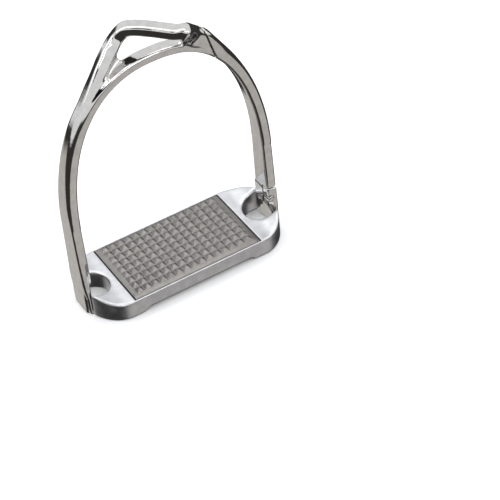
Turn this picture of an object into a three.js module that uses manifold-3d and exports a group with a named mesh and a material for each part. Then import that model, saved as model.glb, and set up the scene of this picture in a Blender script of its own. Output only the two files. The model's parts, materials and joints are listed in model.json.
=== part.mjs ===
// Safety stirrup iron with a turned strap eye and a magnet-held release arm.
// Millimetres, +Z up. The origin is on the ground, under the middle of the tread.
// +X points to the release arm, -Y to the front of the tread.
import * as THREE from "three";
import { mergeVertices } from "three/addons/utils/BufferGeometryUtils.js";
import Module from "manifold-3d";

const wasm = await Module();
wasm.setup();

// ---- Driving dimensions -------------------------------------------------
const GAP = 0.3; // clearance between touching pieces

// Inside line of the bow: straight legs, then half of a squarish ellipse.
const INSIDE_HALF_WIDTH = 60.4;
const SPRING_Z = 57; // where the legs start to curve
const INSIDE_TOP_Z = 152;
const ARCH_POWER = 2.3; // 2 is a plain ellipse
const LEG_THICKNESS = 6.4;
const CROWN_THICKNESS = 5.4;
const LEG_DEPTH = 15; // front to back, at the tread
const EDGE_ROUND = 1.6;
const CROWN_DEPTH = 9; // front to back, at the top of the bow

// Strap eye: a bar turned about the vertical.
const EYE_TOP_Z = 175;
const EYE_MIDDLE_X = 1.1;
const EYE_HALF_LENGTH = 19.6;
const EYE_TURN = THREE.MathUtils.degToRad(-36);
const STRAP_BAR_WIDTH = 8.8;
const STRAP_BAR_THICKNESS = 6.2;
const WEB_FRONT_Y = -0.6;
const WEB_THICKNESS = 4;
const WEB_LEAN_Z = 146; // the web starts to lean back here
const WEB_LEAN = 0.38;

// Slanted joint between the bow and the release arm.
const SCARF_OUTER = new THREE.Vector2(32, 158);
const SCARF_INNER = new THREE.Vector2(36.8, 139.3);
const PEG_FROM_TIP = 5.6;
const MAGNET_FROM_TIP = 12.2;
const PEG_DIAMETER = 4.0;
const PEG_LENGTH = 5.6;
const PEG_ROOT = 0.7; // how far the peg is let into the arm
const PEG_CHAMFER = 0.5;
const MAGNET_DIAMETER = 6.2;
const MAGNET_THICKNESS = 2.2;
const FACE_REACH = 4; // a cut this long clears either joint face

// Hinge at the foot of the release arm.
const PIN_X = 62.2;
const PIN_Z = 22;
const PIN_DIAMETER = 3;
const PIN_HEAD_DIAMETER = 4.4;
const PIN_HEAD_HEIGHT = 0.9;
const PIN_SLOT_WIDTH = 0.7;
const PIN_SLOT_DEPTH = 0.5;
const SEAM_Z = 29.5; // end of the arm's full section
const CHEEK_BACK_Y = -1.6; // the post's cheek is in front of this
const POST_SHELF_Z = 14;
const TONGUE_RADIUS = 6.4;
const CHEEK_RADIUS = 7.3; // rounds the cheek's outer corner, clear of the arm's swing
const KNUCKLE_INSET = 0.4; // the knuckle stands this far into the foot space
const LOWER_LEG_TOP = 100; // the slanted joint's cut stays above this

// Tread with its two end lobes.
const TREAD_TOP_Z = 12;
const TREAD_HALF_DEPTH = 26.8;
const LOBE_CENTRE_X = 45;
const LOBE_REACH = 21;
const FOOT_HALF_WIDTH = 10; // the legs spread to this at the tread
const FOOT_THICKNESS = 4.2;
const HOLLOW_RADIUS = 30; // scoop in the inner face of each leg
const HOLLOW_LIP = 0.2; // the scoop's rounded top, as a share of its radius
const FIXED_HOLLOW_TOP = 20;
const POST_HOLLOW_TOP = 10;
const HOLE_RADIUS = 11.4;
const HOLE_CENTRE_X = 58.9;
const SHOULDER_RISE = 6;
const SHOULDER_START_X = 47;
const SHOULDER_RUN = 18;
const MIDDLE_LIFT = 2; // underside of the middle, above the ground

// Grip plate, let into the top of the tread.
const PLATE_LENGTH = 85;
const PLATE_DEPTH = 51.2;
const PLATE_THICKNESS = 3;
const STUD_COLUMNS = 15;
const STUD_ROWS = 9;
const STUD_PITCH = 5.28;
const STUD_BASE = 4.9;
const STUD_CROWN = 0.8;
const STUD_HEIGHT = 2;
const PLATE_BACK_MARGIN = 0.5;

// Countersunk screws that hold the plate from below.
const SCREW_X = 30;
const SCREW_Y = 15;
const SCREW_DIAMETER = 3;
const SCREW_HEAD_DIAMETER = 5.8;
const SCREW_HEAD_HEIGHT = 1.7;
const SCREW_TIP_Z = 10.8;
const SOCKET_RADIUS = 1.15;
const SOCKET_DEPTH = 1.1;

// ---- Mesh and solid helpers ---------------------------------------------
function solid(geometry) {
  const bare = geometry.clone();
  bare.deleteAttribute("normal");
  bare.deleteAttribute("uv");
  const merged = mergeVertices(bare, 1e-5);
  return new wasm.Manifold(
    new wasm.Mesh({
      numProp: 3,
      vertProperties: new Float32Array(merged.attributes.position.array),
      triVerts: new Uint32Array(merged.index.array),
    }),
  );
}

function geometryOf(manifold) {
  const mesh = manifold.getMesh();
  const geometry = new THREE.BufferGeometry();
  geometry.setAttribute("position", new THREE.BufferAttribute(new Float32Array(mesh.vertProperties), 3));
  geometry.setIndex(new THREE.BufferAttribute(new Uint32Array(mesh.triVerts), 1));
  return geometry;
}

// Joins closed rings of points, one after the other, and caps both ends.
function loft(rings) {
  const count = rings[0].length;
  const positions = rings.flat().flatMap((point) => point.toArray());
  const triangles = [];
  for (let ring = 0; ring < rings.length - 1; ring += 1) {
    for (let side = 0; side < count; side += 1) {
      const a = ring * count + side;
      const b = ring * count + ((side + 1) % count);
      triangles.push(a, b, b + count, a, b + count, a + count);
    }
  }
  const last = (rings.length - 1) * count;
  for (let side = 1; side < count - 1; side += 1) {
    triangles.push(0, side + 1, side);
    triangles.push(last, last + side, last + side + 1);
  }
  const geometry = new THREE.BufferGeometry();
  geometry.setAttribute("position", new THREE.BufferAttribute(new Float32Array(positions), 3));
  geometry.setIndex(triangles);
  return geometry;
}

// A rectangle with rounded corners, drawn around a point on two directions.
function roundedRing(centre, across, up, width, height, radius) {
  const steps = 3;
  const ring = [];
  for (let corner = 0; corner < 4; corner += 1) {
    const sideA = corner === 0 || corner === 3 ? 1 : -1;
    const sideU = corner < 2 ? 1 : -1;
    for (let step = 0; step <= steps; step += 1) {
      const angle = (corner + step / steps) * (Math.PI / 2);
      const a = sideA * (width / 2 - radius) + radius * Math.cos(angle);
      const u = sideU * (height / 2 - radius) + radius * Math.sin(angle);
      ring.push(centre.clone().addScaledVector(across, a).addScaledVector(up, u));
    }
  }
  return ring;
}

function box(x0, x1, y0, y1, z0, z1) {
  const geometry = new THREE.BoxGeometry(x1 - x0, y1 - y0, z1 - z0);
  geometry.translate((x0 + x1) / 2, (y0 + y1) / 2, (z0 + z1) / 2);
  return solid(geometry);
}

// A cylinder between two heights along a direction, from a starting point.
function rod(origin, direction, from, to, diameter, sides = 28) {
  const geometry = new THREE.CylinderGeometry(diameter / 2, diameter / 2, to - from, sides);
  geometry.translate(0, (from + to) / 2, 0);
  const turn = new THREE.Quaternion().setFromUnitVectors(new THREE.Vector3(0, 1, 0), direction);
  geometry.applyQuaternion(turn);
  geometry.translate(origin.x, origin.y, origin.z);
  return solid(geometry);
}

function smooth(value, low, high) {
  return THREE.MathUtils.smoothstep(value, low, high);
}

const FAR = 100; // further than any point of the stirrup from its middle, in plan
const ABOVE = 400; // higher than the stirrup

// The plan of the tread, as a tall block.
function outlineBlock() {
  const outline = new THREE.Shape();
  outline.absellipse(LOBE_CENTRE_X, 0, LOBE_REACH, TREAD_HALF_DEPTH, -Math.PI / 2, Math.PI / 2, false);
  outline.absellipse(-LOBE_CENTRE_X, 0, LOBE_REACH, TREAD_HALF_DEPTH, Math.PI / 2, 1.5 * Math.PI, false);
  const settings = { depth: 40, bevelEnabled: false, curveSegments: 24 };
  const geometry = new THREE.ExtrudeGeometry(outline, settings);
  geometry.translate(0, 0, -5);
  return solid(geometry);
}

// ---- Bow: the arch and the strap eye, before it is cut into pieces ----------
function depthAt(z) {
  return THREE.MathUtils.lerp(LEG_DEPTH, CROWN_DEPTH, smooth(z, 20, 140));
}

function thicknessAt(z) {
  return THREE.MathUtils.lerp(LEG_THICKNESS, CROWN_THICKNESS, smooth(z, 100, 148));
}

function archRing(inner, outward) {
  const thickness = thicknessAt(inner.y);
  const centre = new THREE.Vector3(inner.x, 0, inner.y);
  const out = new THREE.Vector3(outward.x, 0, outward.y);
  centre.addScaledVector(out, thickness / 2);
  const back = new THREE.Vector3(0, 1, 0);
  return roundedRing(centre, back, out, depthAt(inner.y), thickness, EDGE_ROUND);
}

function archSolid() {
  const rings = [];
  const legHeights = [0, 20, 40];
  const legRing = (side, z) => {
    const inner = new THREE.Vector2(side * INSIDE_HALF_WIDTH, z);
    return archRing(inner, new THREE.Vector2(side, 0));
  };
  for (const z of legHeights) {
    rings.push(legRing(-1, z));
  }
  const steps = 40;
  const rise = INSIDE_TOP_Z - SPRING_Z;
  for (let step = 0; step <= steps; step += 1) {
    const angle = Math.PI * (1 - step / steps);
    const side = Math.sign(Math.cos(angle));
    const sideways = Math.abs(Math.cos(angle)) ** (2 / ARCH_POWER);
    const upwards = Math.abs(Math.sin(angle)) ** (2 / ARCH_POWER);
    const inner = new THREE.Vector2(side * INSIDE_HALF_WIDTH * sideways, SPRING_Z + rise * upwards);
    const outward = new THREE.Vector2(
      (side * sideways ** (ARCH_POWER - 1)) / INSIDE_HALF_WIDTH,
      upwards ** (ARCH_POWER - 1) / rise,
    );
    rings.push(archRing(inner, outward.normalize()));
  }
  for (const z of legHeights.toReversed()) {
    rings.push(legRing(1, z));
  }
  return solid(loft(rings));
}

// Stations of the outer band: where its outer face runs, its width, its
// thickness, and how far its width has turned towards the strap bar's.
function eyeStations() {
  const along = new THREE.Vector3(Math.cos(EYE_TURN), Math.sin(EYE_TURN), 0);
  const onBar = (share, z) => {
    const point = along.clone().multiplyScalar(share * EYE_HALF_LENGTH);
    return new THREE.Vector3(EYE_MIDDLE_X + point.x, point.y, z);
  };
  const top = EYE_TOP_Z;
  const bar = { width: STRAP_BAR_WIDTH, thickness: STRAP_BAR_THICKNESS, turn: 1 };
  return [
    { point: new THREE.Vector3(-66.6, 0, 64), width: 13, thickness: 5, turn: 0 },
    { point: new THREE.Vector3(-65.6, 0, 84), width: 12, thickness: 5, turn: 0 },
    { point: new THREE.Vector3(-61.6, 0, 107), width: 10.4, thickness: 5.4, turn: 0 },
    { point: new THREE.Vector3(-54.6, 0.2, 127.4), width: 9.6, thickness: 6.2, turn: 0.1 },
    { point: new THREE.Vector3(-43.2, 2, 143.6), width: 9, thickness: 7, turn: 0.4 },
    { point: new THREE.Vector3(-30.4, 6.2, 158.2), width: 8.8, thickness: 7.6, turn: 0.8 },
    { point: new THREE.Vector3(-22.4, 10.2, 164.2), ...bar, thickness: 7.6, turn: 0.95 },
    { point: new THREE.Vector3(-16.4, 11.8, 168.6), ...bar, thickness: 7.4 },
    { point: onBar(-0.88, top - 2.6), ...bar, thickness: 7 },
    { point: onBar(-0.72, top - 0.6), ...bar, thickness: 6.6 },
    { point: onBar(-0.48, top), ...bar },
    { point: onBar(-0.25, top - 0.1), ...bar },
    { point: onBar(0.05, top - 0.8), ...bar },
    { point: onBar(0.5, top - 2.4), ...bar },
    { point: onBar(0.72, top - 3), ...bar },
    { point: onBar(0.98, top - 2.2), ...bar, thickness: 6.8 },
    { point: onBar(1.14, top - 3.6), width: 9, thickness: 8, turn: 0.8 },
    { point: new THREE.Vector3(28.4, -3, 161.8), width: 9.4, thickness: 10.4, turn: 0.3 },
    { point: new THREE.Vector3(35.4, -1.2, 155.6), width: 9.2, thickness: 9.4, turn: 0.1 },
    { point: new THREE.Vector3(42, -0.6, 146), width: 9, thickness: 8, turn: 0 },
    { point: new THREE.Vector3(52, 0, 129.2), width: 9.4, thickness: 6, turn: 0 },
    { point: new THREE.Vector3(60.2, 0, 107), width: 10.4, thickness: 5.4, turn: 0 },
    { point: new THREE.Vector3(65, 0, 84), width: 12, thickness: 5, turn: 0 },
    { point: new THREE.Vector3(66.6, 0, 64), width: 13, thickness: 5, turn: 0 },
  ];
}

function eyeSolid() {
  const stations = eyeStations();
  const curve = new THREE.CatmullRomCurve3(stations.map((station) => station.point), false, "centripetal");
  const rings = [];
  const perSpan = 3;
  const last = (stations.length - 1) * perSpan;
  for (let step = 0; step <= last; step += 1) {
    const index = Math.min(Math.floor(step / perSpan), stations.length - 2);
    const blend = step / perSpan - index;
    const here = stations[index];
    const next = stations[index + 1];
    const mix = (key) => THREE.MathUtils.lerp(here[key], next[key], blend);
    const tangent = curve.getTangent(step / last);
    const angle = EYE_TURN * mix("turn");
    const across = new THREE.Vector3(-Math.sin(angle), Math.cos(angle), 0);
    across.addScaledVector(tangent, -across.dot(tangent)).normalize();
    const out = new THREE.Vector3().crossVectors(across, tangent).negate();
    const centre = curve.getPoint(step / last).addScaledVector(out, -mix("thickness") / 2);
    rings.push(roundedRing(centre, across, out, mix("width"), mix("thickness"), EDGE_ROUND));
  }
  return solid(loft(rings));
}

// The thin web that fills the corner between the arch and the rising outer band.
// It leans back as it climbs, to meet the turned strap bar.
function eyeWeb() {
  const outline = new THREE.Shape();
  outline.moveTo(-53, 124);
  outline.lineTo(-34, 145);
  outline.lineTo(-20, 153);
  outline.quadraticCurveTo(-17.5, 159, -20, 164);
  outline.lineTo(-24, 162);
  outline.lineTo(-36, 150);
  const settings = { depth: WEB_THICKNESS, bevelEnabled: false, curveSegments: 6 };
  const geometry = new THREE.ExtrudeGeometry(outline, settings);
  geometry.rotateX(Math.PI / 2);
  geometry.translate(0, WEB_FRONT_Y + WEB_THICKNESS, 0);
  const corners = geometry.attributes.position;
  for (let index = 0; index < corners.count; index += 1) {
    const climb = Math.max(0, corners.getZ(index) - WEB_LEAN_Z);
    corners.setY(index, corners.getY(index) + WEB_LEAN * climb);
  }
  return solid(geometry);
}

// The leg's foot: a low wall across the end of the tread, rounded underneath.
function footSolid(side) {
  const outer = INSIDE_HALF_WIDTH + LEG_THICKNESS;
  const inner = outer - FOOT_THICKNESS;
  const outline = new THREE.Shape();
  outline.moveTo(inner, 0);
  outline.lineTo(outer - 2.4, 0);
  outline.quadraticCurveTo(outer - 0.2, 2, outer, 9);
  outline.lineTo(outer, TREAD_TOP_Z);
  outline.lineTo(inner, TREAD_TOP_Z);
  const settings = { depth: 2 * FOOT_HALF_WIDTH, bevelEnabled: false, curveSegments: 5 };
  const geometry = new THREE.ExtrudeGeometry(outline, settings);
  geometry.rotateX(Math.PI / 2);
  geometry.translate(0, FOOT_HALF_WIDTH, 0);
  if (side < 0) {
    geometry.rotateZ(Math.PI);
  }
  const middle = box(-FAR, FAR, -LEG_DEPTH / 2, LEG_DEPTH / 2, -1, 40);
  return solid(geometry).intersect(outlineBlock().add(middle));
}

// Scoop in the inner face of each leg, above the hole in the tread.
function legHollow(side, top) {
  const deepest = INSIDE_HALF_WIDTH + LEG_THICKNESS - FOOT_THICKNESS;
  const start = new THREE.Vector3(side * (deepest - HOLLOW_RADIUS), 0, 0);
  const upright = rod(start, new THREE.Vector3(0, 0, 1), -1, top, 2 * HOLLOW_RADIUS, 48);
  const lip = new THREE.SphereGeometry(HOLLOW_RADIUS, 48, 12);
  lip.rotateX(Math.PI / 2);
  lip.scale(1, 1, HOLLOW_LIP);
  lip.translate(start.x, 0, top);
  return upright.add(solid(lip));
}

const scarfAlong = SCARF_INNER.clone().sub(SCARF_OUTER).normalize();
const scarfNormal = new THREE.Vector3(-scarfAlong.y, 0, scarfAlong.x);

function onScarf(fromTip, depth = 0) {
  const point = SCARF_OUTER.clone().addScaledVector(scarfAlong, fromTip);
  return new THREE.Vector3(point.x, 0, point.y).addScaledVector(scarfNormal, depth);
}

// Everything on the arm's side of the slanted joint, moved out by an offset.
function armSide(offset) {
  const size = 400;
  const geometry = new THREE.BoxGeometry(size, size, size);
  geometry.translate(size / 2, 0, 0);
  geometry.rotateY(-Math.atan2(scarfNormal.z, scarfNormal.x));
  const centre = onScarf(MAGNET_FROM_TIP, offset);
  geometry.translate(centre.x, 0, centre.z);
  return solid(geometry);
}

const magnetPocketDepth = MAGNET_THICKNESS + 2 * GAP;

// A round pocket square to the joint face, with clearance for what it holds.
function joinPocket(fromTip, from, to, diameter) {
  return rod(onScarf(fromTip), scarfNormal, from, to, diameter + 2 * GAP);
}

const pinAxis = new THREE.Vector3(0, 1, 0);
const pinCentre = new THREE.Vector3(PIN_X, 0, PIN_Z);
const pinBore = rod(pinCentre, pinAxis, -FAR, FAR, PIN_DIAMETER + 2 * GAP);
const ring = archSolid().add(eyeSolid()).add(eyeWeb());

function bow() {
  return ring
    .subtract(armSide(-GAP / 2))
    .add(footSolid(-1))
    .subtract(legHollow(-1, FIXED_HOLLOW_TOP))
    .subtract(joinPocket(MAGNET_FROM_TIP, -magnetPocketDepth, FACE_REACH, MAGNET_DIAMETER))
    .subtract(joinPocket(PEG_FROM_TIP, -PEG_LENGTH - 1, FACE_REACH, PEG_DIAMETER))
    .subtract(box(0, FAR, -FAR, FAR, -1, LOWER_LEG_TOP));
}

function rightLeg() {
  const below = box(0, FAR, -FAR, FAR, -1, LOWER_LEG_TOP);
  return ring.intersect(armSide(GAP / 2).add(below));
}

function hingePost() {
  const block = rightLeg().intersect(box(0, FAR, -FAR, FAR, -1, SEAM_Z - GAP / 2));
  const clearance = rod(pinCentre, pinAxis, CHEEK_BACK_Y, LEG_DEPTH, 2 * (TONGUE_RADIUS + GAP), 40);
  const round = rod(pinCentre, pinAxis, -LEG_DEPTH, LEG_DEPTH, 2 * CHEEK_RADIUS, 64);
  const corner = box(PIN_X, FAR, -FAR, FAR, PIN_Z, ABOVE).subtract(round);
  return block
    .add(footSolid(1))
    .subtract(legHollow(1, POST_HOLLOW_TOP))
    .subtract(box(0, FAR, CHEEK_BACK_Y, FAR, POST_SHELF_Z, ABOVE))
    .subtract(clearance)
    .subtract(corner)
    .subtract(pinBore);
}

function releaseArm() {
  const tongueFront = CHEEK_BACK_Y + GAP;
  const outerFace = INSIDE_HALF_WIDTH + LEG_THICKNESS;
  const full = rightLeg().intersect(box(0, FAR, -FAR, FAR, SEAM_Z + GAP / 2, ABOVE));
  const tongue = rightLeg().intersect(box(0, FAR, tongueFront, FAR, PIN_Z, SEAM_Z + 1));
  const knuckle = rod(pinCentre, pinAxis, tongueFront, LEG_DEPTH / 2, 2 * TONGUE_RADIUS, 40);
  const knuckleSpace = box(INSIDE_HALF_WIDTH - KNUCKLE_INSET, outerFace, -FAR, FAR, 0, SEAM_Z);
  return full
    .add(tongue)
    .add(knuckle.intersect(knuckleSpace))
    .subtract(joinPocket(MAGNET_FROM_TIP, -FACE_REACH, magnetPocketDepth, MAGNET_DIAMETER))
    .subtract(joinPocket(PEG_FROM_TIP, -FACE_REACH, PEG_ROOT + GAP, PEG_DIAMETER))
    .subtract(pinBore);
}

function hingePin() {
  const face = LEG_DEPTH / 2 + GAP;
  const shank = rod(pinCentre, pinAxis, -face, LEG_DEPTH / 2 - GAP, PIN_DIAMETER, 24);
  const head = rod(pinCentre, pinAxis, -face - PIN_HEAD_HEIGHT, -face, PIN_HEAD_DIAMETER, 24);
  const slotFloor = -face - PIN_HEAD_HEIGHT + PIN_SLOT_DEPTH;
  const slotTop = PIN_Z + PIN_SLOT_WIDTH / 2;
  const slot = box(0, FAR, -FAR, slotFloor, slotTop - PIN_SLOT_WIDTH, slotTop);
  return shank.add(head).subtract(slot);
}

function locatingPeg() {
  const origin = onScarf(PEG_FROM_TIP, PEG_ROOT);
  const radius = PEG_DIAMETER / 2;
  const length = PEG_LENGTH + PEG_ROOT;
  const profile = [
    new THREE.Vector2(0, 0),
    new THREE.Vector2(radius, 0),
    new THREE.Vector2(radius, length - PEG_CHAMFER),
    new THREE.Vector2(radius - PEG_CHAMFER, length),
    new THREE.Vector2(0, length),
  ];
  const geometry = new THREE.LatheGeometry(profile, 24);
  const outward = scarfNormal.clone().negate();
  const turn = new THREE.Quaternion().setFromUnitVectors(new THREE.Vector3(0, 1, 0), outward);
  geometry.applyQuaternion(turn);
  geometry.translate(origin.x, origin.y, origin.z);
  return solid(geometry);
}

function magnet(side) {
  const inward = scarfNormal.clone().multiplyScalar(side);
  return rod(onScarf(MAGNET_FROM_TIP), inward, 2 * GAP, MAGNET_THICKNESS + GAP, MAGNET_DIAMETER, 32);
}

// ---- Tread -----------------------------------------------------------------
function shoulderHeight(x, y) {
  const outward = THREE.MathUtils.clamp((Math.abs(x) - SHOULDER_START_X) / SHOULDER_RUN, 0, 1);
  return TREAD_TOP_Z + SHOULDER_RISE * outward * outward * smooth(Math.abs(y), 4, 14);
}

function undersideHeight(x) {
  return MIDDLE_LIFT * (1 - smooth(Math.abs(x), 33, 40));
}

// A block with a shaped top and underside, over a grid of plan positions.
function treadBlock() {
  const half = [0, 33, 35, 36.5, 38, 40, 47, 50, 53, 56, 59, 62, 65, 68];
  const halfRows = [4, 6.5, 9, 11.5, 14, 18, 22, 28];
  const mirrored = (values) => values.map((value) => -value).reverse();
  const xs = [...mirrored(half.slice(1)), ...half];
  const ys = [...mirrored(halfRows), ...halfRows];
  const lastColumn = xs.length - 1;
  const lastRow = ys.length - 1;
  const positions = [];
  for (const level of [undersideHeight, shoulderHeight]) {
    for (const y of ys) {
      for (const x of xs) {
        positions.push(x, y, level(x, y));
      }
    }
  }
  const bottom = (i, j) => j * xs.length + i;
  const top = (i, j) => xs.length * ys.length + bottom(i, j);
  const triangles = [];
  const quad = (a, b, c, d) => triangles.push(a, b, c, a, c, d);
  for (let j = 0; j < lastRow; j += 1) {
    for (let i = 0; i < lastColumn; i += 1) {
      quad(top(i, j), top(i + 1, j), top(i + 1, j + 1), top(i, j + 1));
      quad(bottom(i, j), bottom(i, j + 1), bottom(i + 1, j + 1), bottom(i + 1, j));
    }
  }
  for (let i = 0; i < lastColumn; i += 1) {
    quad(bottom(i, 0), bottom(i + 1, 0), top(i + 1, 0), top(i, 0));
    quad(bottom(i + 1, lastRow), bottom(i, lastRow), top(i, lastRow), top(i + 1, lastRow));
  }
  for (let j = 0; j < lastRow; j += 1) {
    quad(bottom(0, j + 1), bottom(0, j), top(0, j), top(0, j + 1));
    quad(bottom(lastColumn, j), bottom(lastColumn, j + 1), top(lastColumn, j + 1), top(lastColumn, j));
  }
  const geometry = new THREE.BufferGeometry();
  geometry.setAttribute("position", new THREE.BufferAttribute(new Float32Array(positions), 3));
  geometry.setIndex(triangles);
  return solid(geometry);
}

function screwPlaces() {
  const places = [];
  for (const x of [-SCREW_X, SCREW_X]) {
    for (const y of [-SCREW_Y, SCREW_Y]) {
      places.push(new THREE.Vector3(x, y, 0));
    }
  }
  return places;
}

// Screw body around its axis; a margin makes the hole that it sits in.
function screwProfile(margin) {
  const head = SCREW_HEAD_DIAMETER / 2 + margin;
  const shank = SCREW_DIAMETER / 2 + margin;
  const under = margin > 0 ? MIDDLE_LIFT - 1 : MIDDLE_LIFT + GAP;
  const profile = [
    new THREE.Vector2(0, under),
    new THREE.Vector2(head, under),
    new THREE.Vector2(head, MIDDLE_LIFT + 2 * GAP),
    new THREE.Vector2(shank, MIDDLE_LIFT + GAP + SCREW_HEAD_HEIGHT + margin),
    new THREE.Vector2(shank, SCREW_TIP_Z + margin),
    new THREE.Vector2(0, SCREW_TIP_Z + margin),
  ];
  const geometry = new THREE.LatheGeometry(profile, 20);
  geometry.rotateX(Math.PI / 2);
  return geometry;
}

function screwBore(spot) {
  const geometry = screwProfile(GAP);
  geometry.translate(spot.x, spot.y, 0);
  return solid(geometry);
}

function screw() {
  const socket = new THREE.CylinderGeometry(SOCKET_RADIUS, SOCKET_RADIUS, 2 * SOCKET_DEPTH, 6);
  socket.rotateX(Math.PI / 2);
  socket.translate(0, 0, MIDDLE_LIFT + GAP);
  return solid(screwProfile(0)).subtract(solid(socket));
}

// Room for a leg and its spread foot at one end of the tread.
function legSpace(side) {
  const footFace = INSIDE_HALF_WIDTH + LEG_THICKNESS - FOOT_THICKNESS - GAP;
  const footSpread = FOOT_HALF_WIDTH + GAP;
  const legFace = INSIDE_HALF_WIDTH - GAP;
  const legSpread = LEG_DEPTH / 2 + GAP;
  const foot = box(footFace, FAR, -footSpread, footSpread, -1, ABOVE);
  const both = foot.add(box(legFace, FAR, -legSpread, legSpread, -1, ABOVE));
  return side < 0 ? both.mirror([1, 0, 0]) : both;
}

function treadBody() {
  const recessFloor = TREAD_TOP_Z - PLATE_THICKNESS - GAP;
  const halfLength = PLATE_LENGTH / 2 + GAP;
  const halfDepth = PLATE_DEPTH / 2 + GAP;
  const up = new THREE.Vector3(0, 0, 1);
  let body = treadBlock().intersect(outlineBlock());
  body = body.subtract(box(-halfLength, halfLength, -halfDepth, halfDepth, recessFloor, ABOVE));
  for (const side of [-1, 1]) {
    const centre = new THREE.Vector3(side * HOLE_CENTRE_X, 0, 0);
    body = body.subtract(rod(centre, up, -1, ABOVE, 2 * HOLE_RADIUS, 48));
    body = body.subtract(legSpace(side));
  }
  for (const spot of screwPlaces()) {
    body = body.subtract(screwBore(spot));
  }
  return body;
}

// ---- Grip plate ----------------------------------------------------------------
function stud() {
  const base = (STUD_BASE / 2) * Math.SQRT2;
  const crown = (STUD_CROWN / 2) * Math.SQRT2;
  const sunk = 2 * GAP; // the stud reaches this far into the plate
  const geometry = new THREE.CylinderGeometry(crown, base, STUD_HEIGHT + sunk, 4);
  geometry.rotateX(Math.PI / 2);
  geometry.rotateZ(Math.PI / 4);
  geometry.translate(0, 0, (STUD_HEIGHT - sunk) / 2);
  return solid(geometry);
}

function gripPlate() {
  const halfLength = PLATE_LENGTH / 2;
  const halfDepth = PLATE_DEPTH / 2;
  const floor = TREAD_TOP_Z - PLATE_THICKNESS;
  let plate = box(-halfLength, halfLength, -halfDepth, halfDepth, floor, TREAD_TOP_Z);
  const single = stud();
  const firstX = (-(STUD_COLUMNS - 1) * STUD_PITCH) / 2;
  const firstY = halfDepth - PLATE_BACK_MARGIN - STUD_PITCH / 2;
  for (let row = 0; row < STUD_ROWS; row += 1) {
    for (let column = 0; column < STUD_COLUMNS; column += 1) {
      const spot = [firstX + column * STUD_PITCH, firstY - row * STUD_PITCH, TREAD_TOP_Z];
      plate = plate.add(single.translate(spot));
    }
  }
  for (const spot of screwPlaces()) {
    plate = plate.subtract(screwBore(spot));
  }
  return plate;
}

// ---- Assembly ------------------------------------------------------------------
const polishedSteel = { color: 0xc9c7c2, roughness: 0.12, metalness: 1 };
const satinSteel = { color: 0xb9b8b6, roughness: 0.35, metalness: 1 };
const gripMetal = { color: 0x8d8a84, roughness: 0.6, metalness: 1 };
const pinSteel = { color: 0xb4b1aa, roughness: 0.25, metalness: 1 };
const magnetMetal = { color: 0xb79a94, roughness: 0.4, metalness: 1 };

const stirrup = new THREE.Group();

function addPiece(name, manifold, finish) {
  const mesh = new THREE.Mesh(geometryOf(manifold), new THREE.MeshStandardMaterial(finish));
  mesh.name = name;
  stirrup.add(mesh);
  return mesh;
}

addPiece("tread_body", treadBody(), satinSteel);
addPiece("bow", bow(), polishedSteel);
addPiece("hinge_post", hingePost(), polishedSteel);
addPiece("release_arm", releaseArm(), polishedSteel);
addPiece("hinge_pin", hingePin(), pinSteel);
addPiece("locating_peg", locatingPeg(), pinSteel);
addPiece("arm_magnet", magnet(1), magnetMetal);
addPiece("bow_magnet", magnet(-1), magnetMetal);
addPiece("grip_plate", gripPlate(), gripMetal);
screwPlaces().forEach((spot, index) => {
  addPiece(`plate_screw_${index + 1}`, screw(), pinSteel).position.copy(spot);
});

export default stirrup;
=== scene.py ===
import functools
import json
import math

import bmesh
import bpy
import numpy as np
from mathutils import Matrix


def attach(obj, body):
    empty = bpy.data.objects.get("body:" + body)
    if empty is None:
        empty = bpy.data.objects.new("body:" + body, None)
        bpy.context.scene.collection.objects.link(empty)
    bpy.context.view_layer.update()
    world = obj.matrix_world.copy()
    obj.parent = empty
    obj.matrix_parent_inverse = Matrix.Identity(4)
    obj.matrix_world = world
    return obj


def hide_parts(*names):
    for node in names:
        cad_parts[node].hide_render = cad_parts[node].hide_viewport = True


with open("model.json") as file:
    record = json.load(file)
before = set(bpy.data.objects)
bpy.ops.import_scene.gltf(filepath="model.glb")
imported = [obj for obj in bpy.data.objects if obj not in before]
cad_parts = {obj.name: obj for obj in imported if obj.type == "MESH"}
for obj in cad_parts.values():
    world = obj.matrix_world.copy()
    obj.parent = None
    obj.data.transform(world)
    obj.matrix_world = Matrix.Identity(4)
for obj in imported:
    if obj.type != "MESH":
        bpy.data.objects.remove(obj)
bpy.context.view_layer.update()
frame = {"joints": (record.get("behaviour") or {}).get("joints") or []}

import openvdb
from bpy.props import FloatProperty, FloatVectorProperty, IntProperty, PointerProperty
from mathutils import Matrix, Vector

bl_info = {
    "name": "Release stirrup iron",
    "version": (1, 0, 0),
    "blender": (4, 5, 0),
    "location": "3D View > Sidebar > Stirrup",
    "description": "Builds a polished stirrup iron with a hinged release arm",
    "category": "Add Mesh",
}

MM = 0.001
HINGE = frame["joints"][0]["pos_m"]


# ---- Sizes and colours -------------------------------------------------------
def length(name, description, default):
    """A size in millimetres."""
    return FloatProperty(name=name, description=description, default=default)


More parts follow.
